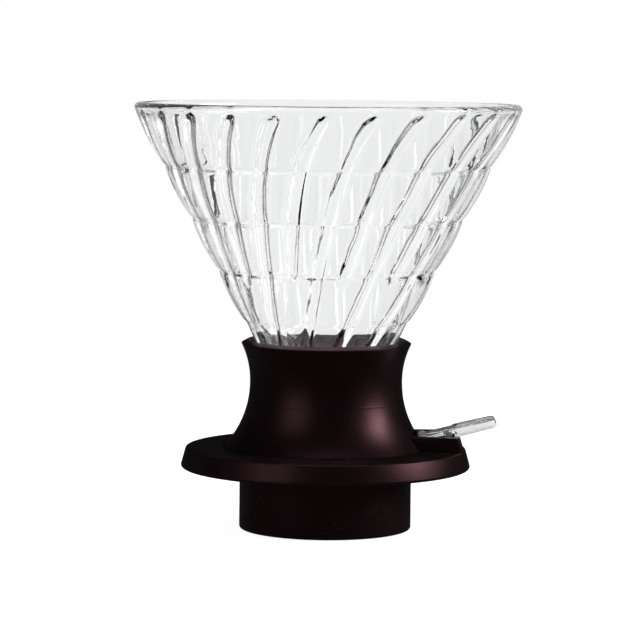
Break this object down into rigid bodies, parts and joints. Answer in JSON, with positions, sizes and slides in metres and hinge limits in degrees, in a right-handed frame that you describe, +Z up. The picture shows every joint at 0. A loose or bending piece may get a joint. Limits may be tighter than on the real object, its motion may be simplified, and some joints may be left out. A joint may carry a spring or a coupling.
{
  "type": "pour over dripper",
  "caption": "Immersion pour over dripper: a spiral-ribbed glass cone in a waisted soft holder, with a ball valve worked by a clear side lever.",
  "frame": {"origin": "on the dripper's axis at the skirt's lower edge", "axes": "+Z up along the axis of the cone, +X from the axis towards the lever's tip"},
  "size_m": [0.1404, 0.1404, 0.155],
  "materials": {
    "cone_glass": "clear pressed borosilicate glass, fire polished, gently uneven",
    "holder_silicone": "satin moulded silicone, very dark brown-black, with fine draw lines",
    "stand_silicone": "satin moulded silicone, very dark brown-black, with a little dust",
    "seat_silicone": "smooth soft silicone",
    "ball_steel": "polished stainless steel",
    "lever_plastic": "clear moulded resin, glossy, with a grip pattern at the tip",
    "pin_steel": "drawn stainless steel"
  },
  "bodies": {
    "base": {"stand": "stand_silicone", "holder": "holder_silicone", "valve_seat": "seat_silicone", "lever_pin": "pin_steel"},
    "lever": {"switch_lever": "lever_plastic"},
    "ball": {"valve_ball": "ball_steel"},
    "glass": {"glass_cone": "cone_glass"}
  },
  "joints": [
    {"name": "lever_tilt", "type": "hinge", "parent": "base", "child": "lever", "pos_m": [0.0354, 0, 0.033], "axis": [0, 1, 0], "range_deg": [0, 10]},
    {"name": "ball_lift", "type": "slide", "parent": "base", "child": "ball", "axis": [0, 0, 1], "range_m": [0, 0.0063]},
    {"name": "glass_lift", "type": "slide", "parent": "base", "child": "glass", "axis": [0, 0, 1], "range_m": [0, 0.06]}
  ],
  "couplings": [
    {"joint": "ball_lift", "follows": "lever_tilt", "m_per_rad": 0.036}
  ]
}
